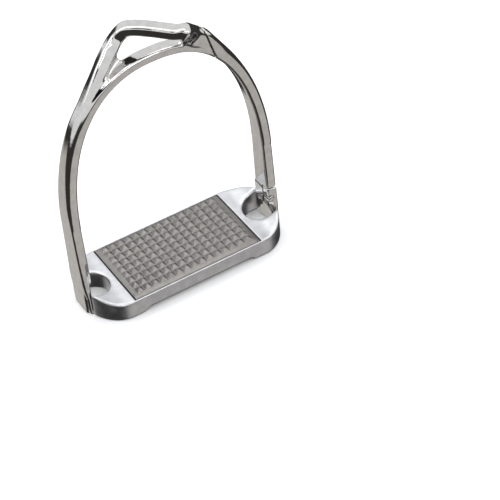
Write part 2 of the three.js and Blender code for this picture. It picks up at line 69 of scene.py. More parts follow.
class StirrupSizes(bpy.types.PropertyGroup):
    """Sizes of the stirrup, in millimetres."""

    voxel: length("Voxel", "Edge of the cells that the castings are shaped in", 0.4)
    inside_half_width: length("Inside half width", "Half the space between the legs", 60.4)
    spring_z: length("Spring height", "Where the legs start to curve", 57.0)
    inside_top_z: length("Inside top", "Height of the inside of the crown", 152.0)
    arch_power: length("Arch power", "2 is a plain ellipse, more is squarer", 2.3)
    leg_thickness: length("Leg thickness", "Side to side, at the tread", 6.4)
    crown_thickness: length("Crown thickness", "Top to bottom, at the crown", 5.4)
    leg_depth: length("Leg depth", "Front to back, above the tread", 15.0)
    crown_depth: length("Crown depth", "Front to back, at the crown", 9.0)
    eye_top_z: length("Eye top", "Height of the strap bar's top", 175.0)
    eye_middle_x: length("Eye middle", "Sideways place of the strap bar", 1.1)
    eye_half_length: length("Eye half length", "Half the length of the strap bar", 19.6)
    bar_width: length("Bar width", "Front to back, across the strap bar", 8.8)
    bar_thickness: length("Bar thickness", "Top to bottom, through the strap bar", 6.2)
    tread_top_z: length("Tread top", "Height of the tread's top", 12.0)
    tread_half_depth: length("Tread half depth", "Half of the tread, front to back", 26.8)
    lobe_centre_x: length("Lobe centre", "Middle of each rounded end", 45.0)
    lobe_reach: length("Lobe reach", "How far each rounded end runs out", 21.0)
    foot_half_width: length("Foot half width", "The legs spread to this at the tread", 10.0)
    foot_thickness: length("Foot thickness", "Wall of the leg beside the hole", 4.2)
    hole_radius: length("Hole radius", "Radius of the hole beside each leg", 11.4)
    hole_centre_x: length("Hole centre", "Middle of the hole beside each leg", 58.9)
    shoulder_rise: length("Shoulder rise", "Height of the ramps beside the legs", 6.0)
    middle_lift: length("Middle lift", "Clearance under the middle of the tread", 2.0)
    plate_length: length("Plate length", "Length of the grip plate", 85.0)
    plate_depth: length("Plate depth", "Depth of the grip plate", 51.2)
    plate_thickness: length("Plate thickness", "Thickness of the grip plate", 3.0)
    stud_pitch: length("Stud pitch", "Spacing of the studs", 5.28)
    stud_base: length("Stud base", "Width of a stud at its foot", 4.9)
    stud_height: length("Stud height", "Height of a stud", 2.0)
    stud_columns: IntProperty(name="Stud columns", description="Studs along the plate", default=15)
    stud_rows: IntProperty(name="Stud rows", description="Studs across the plate", default=9)
    pin_diameter: length("Pin diameter", "Shank of the hinge pin", 3.0)
    pin_head: length("Pin head", "Diameter of the hinge pin's head", 4.4)
    seam_z: length("Seam height", "Lower end of the arm's full section", 29.5)
    cheek_back_y: length("Cheek back", "The post's cheek is in front of this", -1.6)
    shelf_z: length("Shelf height", "Top of the post behind its cheek", 14.0)
    tongue_radius: length("Tongue radius", "Rounding of the arm's knuckle", 6.4)
    gap: length("Gap", "Clearance between touching pieces", 0.3)


def colour(name, description, default):
    return FloatVectorProperty(
        name=name, description=description, subtype="COLOR", size=3, min=0.0, max=1.0, default=default
    )


class StirrupFinish(bpy.types.PropertyGroup):
    """Colours of the metals."""

    polished: colour("Polished steel", "Colour of the bow and the arm", (0.66, 0.65, 0.635))
    satin: colour("Satin steel", "Colour of the tread's frame", (0.6, 0.605, 0.62))
    grip: colour("Grip metal", "Colour of the studded plate", (0.22, 0.211, 0.2))
    pin: colour("Pin steel", "Colour of the pin, the peg and the screws", (0.62, 0.6, 0.57))
    magnet: colour("Magnet plating", "Colour of the magnets", (0.66, 0.55, 0.52))
    # Near-black colour of the painted shade in inside corners, and of the polish residue left there.
    grime_and_shade_colour: colour("Grime and shade", "Colour of the polish left in corners", (0.055, 0.05, 0.045))
    floor: colour("Floor", "Colour of the studio floor", (0.93, 0.93, 0.93))


# ---- Small mathematics ----------------------------------------------------
def smoothstep(value, low, high):
    share = np.clip((value - low) / (high - low), 0.0, 1.0)
    return share * share * (3.0 - 2.0 * share)


def lerp(a, b, share):
    return a + (b - a) * share


def unit(vector):
    return vector / np.linalg.norm(vector)


def smooth_union(a, b, width):
    """Joins two fields with a fillet about as wide as the width."""
    share = np.clip(0.5 + 0.5 * (b - a) / width, 0.0, 1.0)
    return lerp(b, a, share) - width * share * (1.0 - share)


def smooth_cut(a, b, width):
    """Takes b out of a, with the edge rounded over the width."""
    return -smooth_union(-a, b, width)


def smooth_common(a, b, width):
    """What two fields share, with the edge rounded over the width."""
    return -smooth_union(-a, -b, width)


# ---- Fields: signed distances on a grid, negative inside the metal ------------
class Grid:
    """A block of evenly spaced samples between two corners, in millimetres."""

    MARGIN = 5

    def __init__(self, low, high, voxel):
        self.voxel = voxel
        self.start = np.floor(np.array(low) / voxel).astype(int) - self.MARGIN
        self.count = np.ceil(np.array(high) / voxel).astype(int) + self.MARGIN - self.start
        places = [(self.start[i] + np.arange(self.count[i])) * voxel for i in range(3)]
        self.x = places[0][:, None, None].astype(np.float32)
        self.y = places[1][None, :, None].astype(np.float32)
        self.z = places[2][None, None, :].astype(np.float32)

    def mesh_field(self, verts, quads, reach=4.0):
        """Distance to a closed mesh, cut off at the reach."""
        transform = openvdb.createLinearTransform(voxelSize=self.voxel)
        level = openvdb.FloatGrid.createLevelSetFromPolygons(
            np.asarray(verts, np.float32),
            quads=np.asarray(quads, np.uint32),
            transform=transform,
            halfWidth=reach / self.voxel,
        )
        dense = np.empty(tuple(self.count), np.float32)
        level.copyToArray(dense, ijk=tuple(int(i) for i in self.start))
        return dense

    def box(self, x0, x1, y0, y1, z0, z1):
        """Distance to a box. A side may be infinite."""
        across = np.maximum(x0 - self.x, self.x - x1)
        along = np.maximum(y0 - self.y, self.y - y1)
        up = np.maximum(z0 - self.z, self.z - z1)
        return np.maximum(np.maximum(across, along), up)

    def rod(self, origin, direction, start, end, radius):
        """Distance to a cylinder that runs along a direction from a point."""
        rel = (self.x - origin[0], self.y - origin[1], self.z - origin[2])
        along = rel[0] * direction[0] + rel[1] * direction[1] + rel[2] * direction[2]
        square = rel[0] ** 2 + rel[1] ** 2 + rel[2] ** 2 - along**2
        side = np.sqrt(np.maximum(square, 0.0)) - radius
        return np.maximum(side, np.maximum(start - along, along - end))

    def ball(self, centre, radii):
        """About the distance to a stretched ball."""
        across = (self.x - centre[0]) / radii[0]
        along = (self.y - centre[1]) / radii[1]
        up = (self.z - centre[2]) / radii[2]
        size = np.sqrt(across**2 + along**2 + up**2)
        return (size - 1.0) * min(radii)

    def soften(self, field, radius, passes=3):
        """Rounds every edge by averaging neighbouring samples."""
        for _ in range(passes):
            for axis in range(3):
                step = max(1, int(round(radius / self.voxel)))
                total = field.copy()
                for offset in range(1, step + 1):
                    total += np.roll(field, offset, axis) + np.roll(field, -offset, axis)
                field = total / (2 * step + 1)
        return field

    def surface(self, field):
        """Vertices and four-sided faces where the field is zero."""
        grid = openvdb.FloatGrid(background=4.0)
        grid.copyFromArray(np.ascontiguousarray(field, np.float32), ijk=tuple(int(i) for i in self.start))
        verts, quads = grid.convertToQuads()
        verts = verts.astype(np.float64)
        for _ in range(2):
            verts -= self.sample_step(field, verts)
        return verts * self.voxel, quads

    def sample_step(self, field, verts):
        """Step that moves each vertex onto the zero of the field, in samples."""
        place = verts - self.start
        value = self.sample(field, place)
        slope = np.empty_like(place)
        for axis in range(3):
            shift = np.zeros(3)
            shift[axis] = 0.5
            slope[:, axis] = self.sample(field, place + shift) - self.sample(field, place - shift)
        size = np.maximum((slope**2).sum(1), 1e-6)
        step = slope * (value / size)[:, None]
        return np.clip(step, -0.7, 0.7)

    @staticmethod
    def sample(field, place):
        """Straight-line blend of the eight samples round each place."""
        limit = np.array(field.shape) - 2
        base = np.clip(np.floor(place).astype(int), 0, limit)
        part = np.clip(place - base, 0.0, 1.0)
        total = 0.0
        for corner in range(8):
            bits = np.array([(corner >> axis) & 1 for axis in range(3)])
            weight = np.prod(np.where(bits, part, 1.0 - part), axis=1)
            at = base + bits
            total = total + weight * field[at[:, 0], at[:, 1], at[:, 2]]
        return total


def loft(rings):
    """Closed mesh through rings of points, with an even number in each ring."""
    rings = np.array(rings)
    count = rings.shape[1]
    quads = []
    for ring in range(len(rings) - 1):
        for side in range(count):
            a = ring * count + side
            b = ring * count + (side + 1) % count
            quads.append((a, b, b + count, a + count))
    last = (len(rings) - 1) * count
    for side in range(count // 2 - 1):
        other = count - 1 - side
        quads.append((side, other, other - 1, side + 1))
        quads.append((last + side, last + side + 1, last + other - 1, last + other))
    return rings.reshape(-1, 3), quads


def rounded_ring(centre, across, up, width, height, radius, steps=6):
    """A rectangle with rounded corners round a point, on two directions."""
    ring = []
    for corner in range(4):
        side_a = 1 if corner in (0, 3) else -1
        side_u = 1 if corner < 2 else -1
        for step in range(steps + 1):
            angle = (corner + step / steps) * math.pi / 2
            a = side_a * (width / 2 - radius) + radius * math.cos(angle)
            u = side_u * (height / 2 - radius) + radius * math.sin(angle)
            ring.append(centre + across * a + up * u)
    return ring


# ---- Places worked out from the sizes ------------------------------------------
EYE_TURN = math.radians(-36.0)
SCARF_OUTER = np.array([32.0, 0.0, 158.0])
SCARF_INNER = np.array([36.8, 0.0, 139.3])
SCARF_ALONG = unit(SCARF_INNER - SCARF_OUTER)
SCARF_NORMAL = np.array([-SCARF_ALONG[2], 0.0, SCARF_ALONG[0]])
PEG_FROM_TIP = 5.6
MAGNET_FROM_TIP = 12.2
PEG_RADIUS = 2.0
PEG_LENGTH = 5.6
PEG_ROOT = 0.7
MAGNET_RADIUS = 3.1
MAGNET_THICKNESS = 2.2
LOWER_LEG_TOP = 100.0
CHEEK_RADIUS = 7.3
WEB_MIDDLE_Y = 1.4
WEB_HALF_THICKNESS = 1.5
WEB_LEAN = 0.38
WEB_LEAN_Z = 146.0
WEB_LEFT_X = -53.0
WEB_RIGHT_X = -16.0
WEB_TOP_Z = 164.0
WEB_UPPER_Z = 120.5
WEB_UPPER_SLOPE = 1.45
WEB_LOWER_Z = 123.0
WEB_LOWER_SLOPE = 0.95
WEB_HOLLOW_X = -6.2
WEB_HOLLOW_Z = 161.5
WEB_HOLLOW_RADIUS = 10.4
WEB_HOLLOW_STRETCH = 1.25
FLARE_TOP_LEFT_Z = 62.0
FLARE_TOP_RIGHT_Z = 28.0
FOOT_CURVE_IN = 1.9
FOOT_CURVE_TOP_Z = 6.5
HOLLOW_RADIUS = 30.0
SCREW_X = 30.0
SCREW_Y = 15.0
SCREW_TOP_Z = 10.8
SCREW_HEAD_RADIUS = 2.9
SCREW_SHANK_RADIUS = 1.5
SCREW_CLEARANCE = 0.3
SHOULDER_START_X = 47.0
SHOULDER_RUN = 18.0
UNDERCUT_INNER_X = 34.0
UNDERCUT_OUTER_X = 38.5
PIN = np.array([HINGE[0], HINGE[1], HINGE[2]]) / MM
BACK = np.array([0.0, 1.0, 0.0])
UP = np.array([0.0, 0.0, 1.0])
FAR = 400.0


def sizes():
    return bpy.context.scene.stirrup_sizes


def finish_settings():
    return bpy.context.scene.stirrup_finish


def on_scarf(from_tip, depth=0.0):
    """A point on the slanted joint's middle line."""
    return SCARF_OUTER + SCARF_ALONG * from_tip + SCARF_NORMAL * depth


# ---- Bow and arm, before they are parted ---------------------------------------
def band_depth(z, s):
    """Front to back of the inner band, which narrows towards the crown."""
    return lerp(s.leg_depth, s.crown_depth, smoothstep(z, 20, 140))


def arch_rings(s):
    """Sections of the inner band, from the ground on one side to the other."""
    steps = 120
    rise = s.inside_top_z - s.spring_z
    places = [((-s.inside_half_width, z), (-1.0, 0.0)) for z in (-3.0, 12.0, 28.0, 44.0)]
    for step in range(steps + 1):
        angle = math.pi * (1 - step / steps)
        side = math.copysign(1.0, math.cos(angle))
        sideways = abs(math.cos(angle)) ** (2 / s.arch_power)
        upwards = abs(math.sin(angle)) ** (2 / s.arch_power)
        inner = (side * s.inside_half_width * sideways, s.spring_z + rise * upwards)
        slope = (
            side * sideways ** (s.arch_power - 1) / s.inside_half_width,
            upwards ** (s.arch_power - 1) / rise,
        )
        size = math.hypot(*slope)
        places.append((inner, (slope[0] / size, slope[1] / size)))
    places += [((s.inside_half_width, z), (1.0, 0.0)) for z in (44.0, 28.0, 12.0, -3.0)]
    rings = []
    for inner, outward in places:
        z = inner[1]
        thickness = lerp(s.leg_thickness, s.crown_thickness, smoothstep(z, 100, 148))
        depth = band_depth(z, s)
        out = np.array([outward[0], 0.0, outward[1]])
        centre = np.array([inner[0], 0.0, z]) + out * thickness / 2
        rings.append(rounded_ring(centre, BACK, out, depth, thickness, 1.2))
    return rings


def eye_stations(s):
    """Outer face, width, thickness and share of the eye's turn, along the outer band."""
    along = np.array([math.cos(EYE_TURN), math.sin(EYE_TURN), 0.0])
    middle = np.array([s.eye_middle_x, 0.0, s.eye_top_z])
    width = s.bar_width
    thick = s.bar_thickness

    def on_bar(share, drop):
        return middle + along * share * s.eye_half_length - UP * drop

    return [
        (np.array([-66.6, 0, 64]), 13.0, 5.0, 0.0),
        (np.array([-65.6, 0, 84]), 12.0, 5.0, 0.0),
        (np.array([-61.6, 0, 107]), 10.4, 5.4, 0.0),
        (np.array([-54.6, 0.2, 127.4]), 9.6, 6.2, 0.1),
        (np.array([-43.2, 2, 143.6]), 9.0, 7.0, 0.4),
        (np.array([-30.4, 6.2, 158.2]), 8.8, 7.6, 0.8),
        (np.array([-22.4, 10.2, 164.2]), width, thick + 1.4, 0.95),
        (np.array([-16.4, 11.8, 168.6]), width, thick + 1.2, 1.0),
        (on_bar(-0.88, 2.6), width, thick + 0.8, 1.0),
        (on_bar(-0.72, 0.6), width, thick + 0.4, 1.0),
        (on_bar(-0.48, 0.0), width, thick, 1.0),
        (on_bar(-0.25, 0.1), width, thick, 1.0),
        (on_bar(0.05, 0.8), width, thick, 1.0),
        (on_bar(0.5, 2.4), width, thick, 1.0),
        (on_bar(0.72, 3.0), width, thick, 1.0),
        (on_bar(0.98, 2.2), width, thick + 0.6, 1.0),
        (on_bar(1.14, 3.6), 9.0, 8.0, 0.8),
        (np.array([28.4, -3, 161.8]), 9.4, 10.4, 0.3),
        (np.array([35.4, -1.2, 155.6]), 9.2, 9.4, 0.1),
        (np.array([42, -0.6, 146]), 9.0, 8.0, 0.0),
        (np.array([52, 0, 129.2]), 9.4, 6.0, 0.0),
        (np.array([60.2, 0, 107]), 10.4, 5.4, 0.0),
        (np.array([65, 0, 84]), 12.0, 5.0, 0.0),
        (np.array([66.6, 0, 64]), 13.0, 5.0, 0.0),
    ]


def curve_through(points, where):
    """Point and direction on a smooth curve through the points."""
    last = len(points) - 1
    index = min(int(where), last - 1)
    share = where - index
    p1 = points[index]
    p2 = points[index + 1]
    p0 = points[index - 1] if index > 0 else 2 * p1 - p2
    p3 = points[index + 2] if index + 2 <= last else 2 * p2 - p1
    gaps = [math.sqrt(np.linalg.norm(b - a)) for a, b in ((p0, p1), (p1, p2), (p2, p3))]
    t1 = ((p1 - p0) / gaps[0] - (p2 - p0) / (gaps[0] + gaps[1]) + (p2 - p1) / gaps[1]) * gaps[1]
    t2 = ((p2 - p1) / gaps[1] - (p3 - p1) / (gaps[1] + gaps[2]) + (p3 - p2) / gaps[2]) * gaps[1]
    square = 3 * (p2 - p1) - 2 * t1 - t2
    cube = 2 * (p1 - p2) + t1 + t2
    point = p1 + t1 * share + square * share**2 + cube * share**3
    return point, t1 + 2 * square * share + 3 * cube * share**2


def eye_rings(s):
    """Sections of the outer band, which runs off the arch to form the strap eye."""
    stations = eye_stations(s)
    points = [station[0].astype(float) for station in stations]
    per_span = 8
    rings = []
    for step in range((len(stations) - 1) * per_span + 1):
        where = step / per_span
        index = min(int(where), len(stations) - 2)
        share = where - index
        share = share * share * (3 - 2 * share)
        width, thickness, turn = (lerp(stations[index][k], stations[index + 1][k], share) for k in (1, 2, 3))
        point, tangent = curve_through(points, where)
        tangent = unit(tangent)
        angle = EYE_TURN * turn
        across = np.array([-math.sin(angle), math.cos(angle), 0.0])
        across = unit(across - tangent * across.dot(tangent))
        out = -np.cross(across, tangent)
        centre = point - out * thickness / 2
        rings.append(rounded_ring(centre, across, out, width, thickness, lerp(2.4, 1.4, turn)))
    return rings


def outline_field(g, s):
    """Distance inside the tread's plan: a block with an ellipse at each end."""
    past = np.maximum(np.abs(g.x) - s.lobe_centre_x, 0.0) / s.lobe_reach
    across = g.y / s.tread_half_depth
    size = np.sqrt(past**2 + across**2) + 1e-6
    slope = np.sqrt((past / s.lobe_reach) ** 2 + (across / s.tread_half_depth) ** 2) + 1e-6
    return (size - 1.0) * size / slope


def web_field(g):
    """Thin web that fills the corner between the arch and the rising outer band."""
    middle = WEB_MIDDLE_Y + WEB_LEAN * np.maximum(g.z - WEB_LEAN_Z, 0.0)
    slab = np.abs(g.y - middle) - WEB_HALF_THICKNESS
    rounding = np.sqrt(((g.x - WEB_HOLLOW_X) / WEB_HOLLOW_STRETCH) ** 2 + (g.z - WEB_HOLLOW_Z) ** 2)
    run = g.x - WEB_LEFT_X
    over = (g.z - WEB_UPPER_Z - WEB_UPPER_SLOPE * run) / math.hypot(1.0, WEB_UPPER_SLOPE)
    under = (WEB_LOWER_Z + WEB_LOWER_SLOPE * run - g.z) / math.hypot(1.0, WEB_LOWER_SLOPE)
    edges = np.maximum(np.maximum(over, g.z - WEB_TOP_Z), under)
    sides = np.maximum(g.x - WEB_RIGHT_X, -run)
    return np.maximum(np.maximum(slab, WEB_HOLLOW_RADIUS - rounding), np.maximum(edges, sides))


def foot_field(g, s):
    """The legs' low walls, which spread along the ends of the tread."""
    outer = s.inside_half_width + s.leg_thickness
    curve_in = FOOT_CURVE_IN * (1.0 - smoothstep(g.z, -1.0, FOOT_CURVE_TOP_Z)) ** 1.5
    face = np.abs(g.x) - (outer - curve_in)
    inner = (outer - s.foot_thickness) - np.abs(g.x)
    spread_top = np.where(g.x < 0, FLARE_TOP_LEFT_Z, FLARE_TOP_RIGHT_Z)
    flare = (1.0 - smoothstep(g.z, s.tread_top_z - 5, spread_top)) ** 2.0
    half = lerp(band_depth(g.z, s) / 2, s.foot_half_width, flare)
    sides = np.abs(g.y) - half
    body = smooth_common(np.maximum(face, inner), sides, 1.6)
    plan = outline_field(g, s) - 0.8 - 0.12 * np.maximum(g.z - s.tread_top_z, 0.0)
    body = smooth_common(body, plan, 0.8)
    return np.maximum(body, np.maximum(g.z - spread_top, -g.z))


def leg_hollow(g, s, side, top):
    """Scoop in the inner face of a leg, above the hole in the tread."""
    deepest = s.inside_half_width + s.leg_thickness - s.foot_thickness
    centre = side * (deepest - HOLLOW_RADIUS)
    rise = np.clip(g.z - top, 0.0, 20.0)
    around = np.sqrt((g.x - centre) ** 2 + g.y**2) - HOLLOW_RADIUS + rise**2 * 0.09
    return np.maximum(around, g.z - top - 12)


def arm_side(g, offset):
    """Negative on the arm's side of the slanted joint."""
    centre = on_scarf(MAGNET_FROM_TIP, offset)
    past = (g.x - centre[0]) * SCARF_NORMAL[0] + (g.z - centre[2]) * SCARF_NORMAL[2]
    lower_leg = np.maximum(g.z - LOWER_LEG_TOP, -g.x)
    return np.minimum(-past, lower_leg)


@functools.lru_cache(maxsize=1)
def ring_field(voxel):
    """Bow, arm and legs as one piece: (grid, field)."""
    s = sizes()
    g = Grid((-68, -19, 0), (68, 19, 175), voxel)
    arch = g.mesh_field(*loft(arch_rings(s)))
    eye = g.mesh_field(*loft(eye_rings(s)))
    field = smooth_union(arch, eye, 2.6)
    field = smooth_union(field, web_field(g), 3.4)
    outer = s.inside_half_width + s.leg_thickness
    field = smooth_union(field, foot_field(g, s), 1.2)
    field = np.maximum(field, np.abs(g.x) - outer)
    field = np.maximum(field, -g.z)
    field = np.clip(field, -4.0, 4.0).astype(np.float32)
    field = g.soften(field, voxel, 1)
    block = smoothstep(g.x, 12, 19) * (1.0 - smoothstep(g.x, 31, 38)) * smoothstep(g.z, 148, 156)
    return g, lerp(field, g.soften(field, 3 * voxel, 3), block)


def crop(g, field, low, high):
    """The part of a field between two corners, on a grid of its own."""
    part = Grid(low, high, g.voxel)
    start = np.maximum(part.start, g.start)
    end = np.minimum(part.start + part.count, g.start + g.count)
    part.start = start
    part.count = end - start
    places = [(start[i] + np.arange(part.count[i])) * g.voxel for i in range(3)]
    part.x = places[0][:, None, None].astype(np.float32)
    part.y = places[1][None, :, None].astype(np.float32)
    part.z = places[2][None, None, :].astype(np.float32)
    offset = start - g.start
    window = tuple(slice(offset[i], offset[i] + part.count[i]) for i in range(3))
    return part, field[window].copy()


# ---- Making Blender objects ------------------------------------------------
def add_mesh(name, verts, faces, material, body, slot, *nodes):
    """A smooth-shaded piece that stands for its CAD nodes and rides on a body."""
    mesh = bpy.data.meshes.new(name)
    mesh.from_pydata((np.asarray(verts) * MM).tolist(), [], [tuple(int(i) for i in face) for face in faces])
    mesh.validate()
    bm = bmesh.new()
    bm.from_mesh(mesh)
    bmesh.ops.recalc_face_normals(bm, faces=bm.faces)
    bm.to_mesh(mesh)
    bm.free()
    mesh.polygons.foreach_set("use_smooth", [True] * len(mesh.polygons))
    mesh.materials.append(material)
    piece = bpy.data.objects.new(name, mesh)
    bpy.context.scene.collection.objects.link(piece)
    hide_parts(*nodes)
    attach(piece, body)
    return piece


def field_piece(name, g, field, material, body, slot, *nodes):
    """A piece made from the surface of a field."""
    verts, quads = g.surface(np.clip(field, -4.0, 4.0))
    return add_mesh(name, verts, quads[:, ::-1], material, body, slot, *nodes)


# ---- Materials -------------------------------------------------------------
def socket_in(group, name, kind, default):
    socket = group.interface.new_socket(name, in_out="INPUT", socket_type=kind)
    socket.default_value = default
    return socket


def socket_out(group, name, kind):
    return group.interface.new_socket(name, in_out="OUTPUT", socket_type=kind)


def new_group(name):
    group = bpy.data.node_groups.new(name, "ShaderNodeTree")
    return group, group.nodes, group.links


def math_node(tree, operation, first, second=None):
    """A Math node on two values or sockets, and its output."""
    item = tree.nodes.new("ShaderNodeMath")
    item.operation = operation
    for index, value in enumerate((first, second)):
        if value is None:
            continue
        if isinstance(value, (int, float)):
            item.inputs[index].default_value = value
        else:
            tree.links.new(value, item.inputs[index])
    return item.outputs[0]


def ramp_between(tree, value, low, high):
    """The value's place between two limits, from 0 to 1."""
    item = tree.nodes.new("ShaderNodeMapRange")
    item.interpolation_type = "SMOOTHSTEP"
    item.inputs["From Min"].default_value = low
    item.inputs["From Max"].default_value = high
    tree.links.new(value, item.inputs["Value"])
    return item.outputs["Result"]


def noise(tree, place, scale, detail, stretch=(1, 1, 1), turn=(0, 0, 0)):
    """Noise over the object, with its features per metre given by the scale."""
    mapping = tree.nodes.new("ShaderNodeMapping")
    mapping.inputs["Scale"].default_value = stretch
    mapping.inputs["Rotation"].default_value = turn
    tree.links.new(place, mapping.inputs["Vector"])
    item = tree.nodes.new("ShaderNodeTexNoise")
    item.inputs["Scale"].default_value = scale
    item.inputs["Detail"].default_value = detail
    tree.links.new(mapping.outputs["Vector"], item.inputs["Vector"])
    return item.outputs["Fac"]


def object_place(tree):
    return tree.nodes.new("ShaderNodeTexCoord").outputs["Object"]


def polish_marks_group():
    """Hand polishing: a slow waviness, hairline scratches and patches of haze."""
    group, nodes, links = new_group("polish_marks")
    socket_in(group, "Waviness", "NodeSocketFloat", 1.0)
    socket_in(group, "Scratches", "NodeSocketFloat", 1.0)
    socket_out(group, "Height", "NodeSocketFloat")
    socket_out(group, "Haze", "NodeSocketFloat")
    given = nodes.new("NodeGroupInput")
    result = nodes.new("NodeGroupOutput")
    place = object_place(group)
    wave = noise(group, place, 55, 1.5)
    hair_a = noise(group, place, 900, 2, (1, 1, 0.04), (0.3, 0.2, 0))
    hair_b = noise(group, place, 1100, 2, (0.05, 1, 1), (0, 0.5, 0.4))
    hairs = math_node(group, "MULTIPLY", math_node(group, "ADD", hair_a, hair_b), 0.5)
    fine = math_node(group, "MULTIPLY", hairs, given.outputs["Scratches"])
    slow = math_node(group, "MULTIPLY", wave, given.outputs["Waviness"])
    links.new(math_node(group, "ADD", fine, slow), result.inputs["Height"])
    haze = ramp_between(group, noise(group, place, 160, 4), 0.42, 0.7)
    links.new(haze, result.inputs["Haze"])
    return group


def cast_grain_group():
    """Cast metal: a fine bumpy grain with a few small pits."""
    group, nodes, links = new_group("cast_grain")
    socket_in(group, "Grain", "NodeSocketFloat", 1.0)
    socket_in(group, "Pits", "NodeSocketFloat", 1.0)
    socket_out(group, "Height", "NodeSocketFloat")
    socket_out(group, "Mottle", "NodeSocketFloat")
    given = nodes.new("NodeGroupInput")
    result = nodes.new("NodeGroupOutput")
    place = object_place(group)
    grain = math_node(group, "MULTIPLY", noise(group, place, 2600, 3), given.outputs["Grain"])
    cells = nodes.new("ShaderNodeTexVoronoi")
    cells.inputs["Scale"].default_value = 620
    links.new(place, cells.inputs["Vector"])
    rare = nodes.new("ShaderNodeSeparateColor")
    links.new(cells.outputs["Color"], rare.inputs["Color"])
    chosen = math_node(group, "GREATER_THAN", rare.outputs["Red"], 0.8)
    bowl = ramp_between(group, cells.outputs["Distance"], 0.24, 0.1)
    pit = math_node(group, "MULTIPLY", math_node(group, "MULTIPLY", chosen, bowl), given.outputs["Pits"])
    links.new(math_node(group, "SUBTRACT", grain, pit), result.inputs["Height"])
    faint_pit = math_node(group, "MULTIPLY", pit, 0.5)
    mottle = math_node(group, "SUBTRACT", noise(group, place, 240, 5), faint_pit)
    links.new(mottle, result.inputs["Mottle"])
    return group


def crevice_grime_and_shade_group():
    """Painted shade in inside corners, found by ambient occlusion, together with polish and soil left there;
    edges stay bare metal.
    """
    group, nodes, links = new_group("crevice_grime_and_shade")
    socket_in(group, "Reach", "NodeSocketFloat", 0.002)
    socket_out(group, "Grime and shade", "NodeSocketFloat")
    given = nodes.new("NodeGroupInput")
    result = nodes.new("NodeGroupOutput")
    # Ambient occlusion finds the inside corners; the mask below paints shade there.
    shade = nodes.new("ShaderNodeAmbientOcclusion")
    shade.samples = 6
    links.new(given.outputs["Reach"], shade.inputs["Distance"])
    closed = ramp_between(group, shade.outputs["AO"], 0.75, 0.2)
    patch = ramp_between(group, noise(group, object_place(group), 700, 4), 0.25, 0.6)
    links.new(math_node(group, "MULTIPLY", closed, patch), result.inputs["Grime and shade"])
    return group


def shared_group(name, build):
    return bpy.data.node_groups.get(name) or build()


def place_group(tree, group, **values):
    item = tree.nodes.new("ShaderNodeGroup")
    item.node_tree = group
    for name, value in values.items():
        item.inputs[name].default_value = value
    return item


def tinted(tree, mask, first, second):
    """A colour that runs from the first to the second as the mask rises."""
    item = tree.nodes.new("ShaderNodeMix")
    item.data_type = "RGBA"
    for index, value in ((6, first), (7, second)):
        if isinstance(value, bpy.types.NodeSocket):
            tree.links.new(value, item.inputs[index])
        else:
            item.inputs[index].default_value = (*value, 1.0)
    if isinstance(mask, (int, float)):
        item.inputs[0].default_value = mask
    else:
        tree.links.new(mask, item.inputs[0])
    return item.outputs[2]


def metal(name, base, smooth, rough, waviness, scratches, grain, pits, depth, grime_and_shade_reach, grime_and_shade_most):
    """A metal finish. Smooth and rough are the limits of its roughness, and lengths are in metres."""
    known = bpy.data.materials.get(name)
    if known:
        return known
    material = bpy.data.materials.new(name)
    material.use_nodes = True
    tree = material.node_tree
    shader = tree.nodes["Principled BSDF"]
    shader.inputs["Metallic"].default_value = 1.0
    polish = place_group(
        tree, shared_group("polish_marks", polish_marks_group), Waviness=waviness, Scratches=scratches
    )
    cast = place_group(tree, shared_group("cast_grain", cast_grain_group), Grain=grain, Pits=pits)
    corners = place_group(tree, shared_group("crevice_grime_and_shade", crevice_grime_and_shade_group), Reach=grime_and_shade_reach)
    mottle = ramp_between(tree, cast.outputs["Mottle"], 0.25, 0.75)
    darker = tuple(0.86 * value for value in base)
    metal_colour = tinted(tree, mottle, darker, base)
    # Painted shade in inside corners, together with polish residue, darkens the colour towards the near-black
    # mix and dulls the roughness.
    grime_and_shade_mask = math_node(tree, "MULTIPLY", corners.outputs["Grime and shade"], grime_and_shade_most)
    grime_and_shade_colour = tuple(finish_settings().grime_and_shade_colour)
    tree.links.new(tinted(tree, grime_and_shade_mask, metal_colour, grime_and_shade_colour), shader.inputs["Base Color"])
    haze = math_node(tree, "MULTIPLY", polish.outputs["Haze"], rough - smooth)
    clean = math_node(tree, "ADD", haze, smooth)
    dull = math_node(tree, "ADD", clean, math_node(tree, "MULTIPLY", grime_and_shade_mask, 0.35))
    tree.links.new(dull, shader.inputs["Roughness"])
    bump = tree.nodes.new("ShaderNodeBump")
    bump.inputs["Strength"].default_value = 1.0
    bump.inputs["Distance"].default_value = depth
    height = math_node(tree, "ADD", polish.outputs["Height"], cast.outputs["Height"])
    tree.links.new(height, bump.inputs["Height"])
    tree.links.new(bump.outputs["Normal"], shader.inputs["Normal"])
    return material


def polished_steel():
    return metal(
        "mirror_polish",
        tuple(finish_settings().polished),
        smooth=0.03, rough=0.07, waviness=3.0, scratches=0.015,
        grain=0.005, pits=0.02,
        depth=0.00006, grime_and_shade_reach=0.0015, grime_and_shade_most=0.8,
    )


def satin_steel():
    return metal(
        "satin_casting",
        tuple(finish_settings().satin),
        smooth=0.3, rough=0.42, waviness=0.6, scratches=0.15,
        grain=0.35, pits=0.8,
        depth=0.00005, grime_and_shade_reach=0.002, grime_and_shade_most=0.8,
    )


def grip_metal():
    return metal(
        "grip_casting",
        tuple(finish_settings().grip),
        smooth=0.3, rough=0.42, waviness=1.0, scratches=0.2,
        grain=0.6, pits=1.0,
        depth=0.0001, grime_and_shade_reach=0.003, grime_and_shade_most=1.0,
    )


def pin_steel():
    return metal(
        "turned_steel",
        tuple(finish_settings().pin),
        smooth=0.18, rough=0.3, waviness=0.4, scratches=0.4,
        grain=0.2, pits=0.2,
        depth=0.00004, grime_and_shade_reach=0.001, grime_and_shade_most=0.8,
    )


